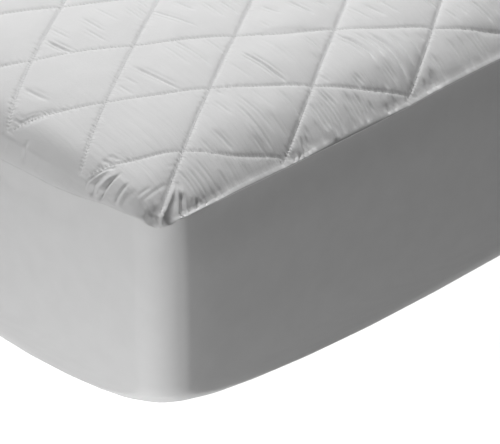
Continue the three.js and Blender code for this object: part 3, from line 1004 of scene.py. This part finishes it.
def make_tube(name, rings, ways):
    """A closed piece that joins each ring to the next one down, and the last to the first."""
    numbers = np.arange(rings.shape[0] * stations.count).reshape(rings.shape[:2])
    below = np.roll(numbers, -1, axis=0)
    faces = np.concatenate([loop_faces(below[row], numbers[row]) for row in range(len(rings))])
    uv = [np.column_stack([stations.length[:-1], np.full(stations.count, way)]) for way in ways]
    return make_piece(name, rings.reshape(-1, 3), faces, np.concatenate(uv))


def skirt():
    outer = skirt_rings()
    rings = np.concatenate([outer, offset_rings(outer, SKIRT_THICKNESS)[::-1]])
    drop = np.concatenate([[0], np.cumsum(np.linalg.norm(np.diff(outer, axis=0), axis=2).mean(axis=1))])
    return make_tube("skirt_cloth_sheet", rings, -np.concatenate([drop, drop[::-1]]))


def seam_tape():
    """The narrow rib in the seam, rounded like a squashed circle."""
    rings = []
    for step in range(TAPE_SECTION["sides"]):
        angle = math.pi / 2 - 2 * math.pi * (step + 0.5) / TAPE_SECTION["sides"]
        up, out = [
            math.copysign(abs(value) ** TAPE_SECTION["roundness"], value)
            for value in (math.sin(angle), math.cos(angle))
        ]
        rise = tape_height / 2 * up
        inset = TAPE_WIDTH / 2 - tape_proud - TAPE_WIDTH / 2 * out - TAPE_LEAN * rise
        rings.append(stations.ring(inset, station_seam + rise))
    return make_tube("seam_tape_rib", np.array(rings), range(TAPE_SECTION["sides"]))


def sewing():
    """One short stitch after another in every groove."""
    last_stitch = LATTICE_REACH * STITCHES_PER_SIDE
    steps = (np.arange(-last_stitch, last_stitch) + 0.5) / STITCHES_PER_SIDE
    centres, ways = [], []
    for family in (0, 1):
        way = steps + LATTICE_MIDDLE[1 - family]
        for line in np.arange(-LATTICE_REACH, LATTICE_REACH + 1) + LATTICE_MIDDLE[family]:
            spots = []
            for shifted in (way, way + 1 / STITCHES_PER_SIDE):
                x, y = to_plan(*on_line(family, line, shifted).T)
                spots.append(np.column_stack([x, y, stitched_height(x, y)]))
            inside = edge_depth(*spots[0][:, :2].T) > STITCH_EDGE_INSET
            centres.append(spots[0][inside])
            ways.append((spots[1] - spots[0])[inside])
    centres = np.concatenate(centres)
    ways = unit(np.concatenate(ways))
    up = surface_normal(*centres[:, :2].T)
    across = unit(np.cross(up, ways))
    half = STITCH["length"] / 2
    thick = STITCH["width"] / 2
    lift = centres - up * STITCH["sunk"]
    corners = [lift - ways * half - up * STITCH["dive"]]
    for end in (-STITCH["straight"], STITCH["straight"]):
        for side, rise in ((0, 1), (1, 0), (0, -1), (-1, 0)):
            corners.append(lift + ways * half * end + across * thick * side + up * thick * rise)
    corners.append(lift + ways * half - up * STITCH["dive"])
    points = np.stack(corners, axis=1)
    # The faces of a stitch join its first end, four corners, four more and its last end
    faces = []
    for step in range(4):
        after = (step + 1) % 4
        faces.append((0, 1 + after, 1 + step, 1 + step))
        faces.append((1 + step, 1 + after, 5 + after, 5 + step))
        faces.append((9, 5 + step, 5 + after, 5 + after))
    faces = np.array(faces)[None] + np.arange(len(points))[:, None, None] * len(corners)
    listed = [tuple(dict.fromkeys(face)) for face in faces.reshape(-1, 4).tolist()]
    return make_piece("quilting_thread", points.reshape(-1, 3), listed)


# Materials: pitches and bump heights in millimetres, the size and place of the streaks in metres
SPECULAR_LEVEL = 0.25
SHEEN_ROUGHNESS = 0.5
CLOTH_SHEEN = 0.15
CLOTHS = table(
    "name color roughness pitch weave_bump mottle",
    ("quilt_cloth", (0.80, 0.80, 0.80), 0.8, 0.45, 0.35, 0.25),
    ("skirt_cloth", (0.78, 0.78, 0.78), 0.75, 0.6, 0.25, 0.12),
    # The tape's cloth is paler than the others: partly its own whiter thread, partly a painted highlight, so
    # the rib looks lit although little light reaches it
    ("tape_cloth", (0.94, 0.94, 0.94), 0.7, 0.5, 0.3, 0.1),
    ("mattress_cover", (0.78, 0.77, 0.74), 0.85, 0.8, 0.4, 0.2),
)
THREAD = {"color": (0.76, 0.76, 0.76), "roughness": 0.6}
# The wave pattern repeats at this many metres at a scale of 1
WAVE_PITCH = 0.314
WEAVE = {"distortion": 0.6, "detail": 1.0, "height": 0.15, "roughness_change": 0.06}
MOTTLE = {"scale": 38.0, "detail": 3.0, "strength": 0.5, "dark_at": 0.3, "light_at": 0.7, "dark": 0.965}
# The streaks come in towards the long side at +X
STREAKS = {"angle": -9.0, "length": 0.075, "width": 0.006, "height": 0.75, "none_at": 0.22, "full_at": 0.40}
YARN = {"scale": 620.0, "height": 0.14}
STREAK_DETAIL = 2.0


def set_inputs(node, values):
    for name, value in values.items():
        node.inputs[name].default_value = value


def new_material(name, color, roughness, sheen=0.0):
    material = bpy.data.materials.new(name)
    material.use_nodes = True
    shader = material.node_tree.nodes["Principled BSDF"]
    set_inputs(shader, {"Base Color": (*color, 1), "Roughness": roughness, "Sheen Weight": sheen})
    set_inputs(shader, {"Specular IOR Level": SPECULAR_LEVEL, "Sheen Roughness": SHEEN_ROUGHNESS})
    return material


def feed(material, node, sources):
    """Links the inputs of a node to the sockets that feed them."""
    for name, source in sources.items():
        material.node_tree.links.new(source, node.inputs[name])


def add_node(material, kind, sources, values=None, **settings):
    """A new node with the sockets that feed it, the values of its other inputs and its settings."""
    node = material.node_tree.nodes.new("ShaderNode" + kind)
    for name, value in settings.items():
        setattr(node, name, value)
    set_inputs(node, values or {})
    feed(material, node, sources)
    return node


def add_noise(material, place, scale, detail):
    values = {"Scale": scale, "Detail": detail}
    return add_node(material, "TexNoise", {"Vector": place}, values).outputs["Fac"]


def add_bump(material, pattern, distance, strength=1.0, **sources):
    """A bump of a pattern, on top of the one that feeds its Normal. Its strength may be fed too."""
    values = {"Distance": distance * MM, "Strength": strength}
    return add_node(material, "Bump", {"Height": pattern, **sources}, values).outputs["Normal"]


def add_streaks(material):
    """Faint pulls in the cloth, all in one direction, and an uneven yarn."""
    shader = material.node_tree.nodes["Principled BSDF"]
    place = add_node(material, "UVMap", {}, uv_map="cloth").outputs["UV"]
    size = (STREAKS["length"], STREAKS["width"], 1)
    turn = {"Rotation": (0, 0, math.radians(STREAKS["angle"])), "Scale": size}
    turned = add_node(material, "Mapping", {"Vector": place}, turn, vector_type="TEXTURE").outputs["Vector"]
    apart = add_node(material, "SeparateXYZ", {"Vector": place})
    ends = {"From Min": STREAKS["none_at"], "From Max": STREAKS["full_at"]}
    tight = add_node(material, "MapRange", {"Value": apart.outputs["X"]}, ends).outputs["Result"]
    streak = add_noise(material, turned, 1.0, STREAK_DETAIL)
    yarn = add_noise(material, place, YARN["scale"], STREAK_DETAIL)
    below = shader.inputs["Normal"].links[0].from_socket
    below = add_bump(material, streak, STREAKS["height"], Strength=tight, Normal=below)
    feed(material, shader, {"Normal": add_bump(material, yarn, YARN["height"], Normal=below)})


def cloth_material(cloth):
    """Cloth: a fine weave in its own coordinates, faint colour and roughness variation."""
    color, roughness = cloth["color"], cloth["roughness"]
    material = new_material(cloth["name"], color, roughness, CLOTH_SHEEN)
    place = add_node(material, "UVMap", {}, uv_map="cloth").outputs["UV"]
    scale = WAVE_PITCH / (cloth["pitch"] * MM)
    wave = {"Scale": scale, "Distortion": WEAVE["distortion"], "Detail": WEAVE["detail"]}
    threads = {}
    for index, direction in enumerate(("X", "Y")):
        settings = {"wave_type": "BANDS", "bands_direction": direction}
        threads[index] = add_node(material, "TexWave", {"Vector": place}, wave, **settings).outputs["Fac"]
    weave = add_node(material, "Math", threads, operation="MAXIMUM").outputs[0]
    soft = add_noise(material, place, MOTTLE["scale"], MOTTLE["detail"])
    bump = add_bump(material, weave, WEAVE["height"], cloth["weave_bump"])
    bump = add_bump(material, soft, cloth["mottle"], MOTTLE["strength"], Normal=bump)
    shades = add_node(material, "ValToRGB", {"Fac": soft})
    dark, light = shades.color_ramp.elements
    dark.position = MOTTLE["dark_at"]
    dark.color = (*[value * MOTTLE["dark"] for value in color], 1)
    light.position = MOTTLE["light_at"]
    light.color = (*color, 1)
    change = WEAVE["roughness_change"]
    limits = {"To Min": roughness - change, "To Max": roughness + change}
    rough = add_node(material, "MapRange", {"Value": weave}, limits).outputs["Result"]
    shader = material.node_tree.nodes["Principled BSDF"]
    feed(material, shader, {"Normal": bump, "Base Color": shades.outputs["Color"], "Roughness": rough})
    return material


cloths = {cloth["name"]: cloth_material(cloth) for cloth in CLOTHS}
add_streaks(cloths["quilt_cloth"])
thread = new_material("sewing_thread", THREAD["color"], THREAD["roughness"])

quilt = quilted_top()
skirt_sheet = skirt()
tape = seam_tape()
stitches = sewing()
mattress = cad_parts["mattress"]
for piece, material, slot in (
    (quilt, cloths["quilt_cloth"], "quilt_cloth"),
    (skirt_sheet, cloths["skirt_cloth"], "skirt_cloth"),
    (tape, cloths["tape_cloth"], "tape_cloth"),
    (stitches, thread, "quilt_cloth"),
):
    piece.data.materials.clear()
    piece.data.materials.append(material)
mattress.data.materials.clear()
mattress.data.materials.append(cloths["mattress_cover"])
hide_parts("quilted_top")
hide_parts("skirt")
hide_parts("seam_tape")

# Floor, light and camera, in metres and degrees
FLOOR = {"half_size": 12.0, "color": (0.85, 0.85, 0.85), "roughness": 0.95, "glow": 0.9}
LIGHTS = table(
    "name location target size power",
    ("overhead_light", (-1.16, -0.28, 2.63), (0.25, -0.75, 0.28), 1.0, 73.5),
    ("front_light", (0.67, -2.15, -0.8), (0.45, -0.95, 0.15), 0.8, 19.6),
    ("side_light", (3.0, -0.6, 0.7), (0.45, -0.5, 0.2), 1.0, 2.4),
    ("far_overhead_light", (-0.2, 1.3, 1.7), (0.0, 0.8, 0.2), 1.0, 5.0),
    ("back_light", (-0.8, 2.2, 0.3), (-0.45, 0.95, 0.15), 1.0, 9.0),
)
STUDIO_LIGHT = 0.099
WHITE = (1, 1, 1, 1)
CAMERA = {"azimuth": 46.57, "elevation": 32.88, "lens": 187.2, "sensor": 36.0}
CAMERA_PLACE = (1.8441, -2.1622, 1.4442)


def place_floor():
    """A plain pale floor that doesn't shade or light the object."""
    size = FLOOR["half_size"]
    corners = [(x * size, y * size, 0) for x, y in ((-1, -1), (1, -1), (1, 1), (-1, 1))]
    mesh = bpy.data.meshes.new("floor")
    mesh.from_pydata(corners, [], [(0, 1, 2, 3)])
    floor = add_object("floor", mesh)
    material = new_material("floor", FLOOR["color"], FLOOR["roughness"])
    shader = material.node_tree.nodes["Principled BSDF"]
    set_inputs(shader, {"Emission Color": WHITE, "Emission Strength": FLOOR["glow"]})
    mesh.materials.append(material)
    floor.visible_diffuse = False
    floor.visible_shadow = False


def aim(thing, location, ahead):
    thing.location = location
    thing.rotation_mode = "QUATERNION"
    thing.rotation_quaternion = ahead.to_track_quat("-Z", "Y")


def place_area_light(row):
    data = bpy.data.lights.new(row["name"], "AREA")
    data.shape = "DISK"
    data.size = row["size"]
    data.energy = row["power"]
    light = add_object(row["name"], data)
    aim(light, row["location"], Vector(row["target"]) - Vector(row["location"]))
    light.visible_camera = False


def place_camera():
    data = bpy.data.cameras.new("camera")
    data.sensor_width = CAMERA["sensor"]
    data.lens = CAMERA["lens"]
    azimuth = math.radians(CAMERA["azimuth"])
    elevation = math.radians(CAMERA["elevation"])
    level = math.cos(elevation)
    back = Vector((math.sin(azimuth) * level, -math.cos(azimuth) * level, math.sin(elevation)))
    camera = add_object("camera", data)
    aim(camera, CAMERA_PLACE, -back)
    bpy.context.scene.camera = camera


place_floor()
for row in LIGHTS:
    place_area_light(row)
world = bpy.data.worlds.new("studio")
world.use_nodes = True
set_inputs(world.node_tree.nodes["Background"], {"Color": WHITE, "Strength": STUDIO_LIGHT})
bpy.context.scene.world = world
bpy.context.scene.view_settings.view_transform = "Standard"
place_camera()
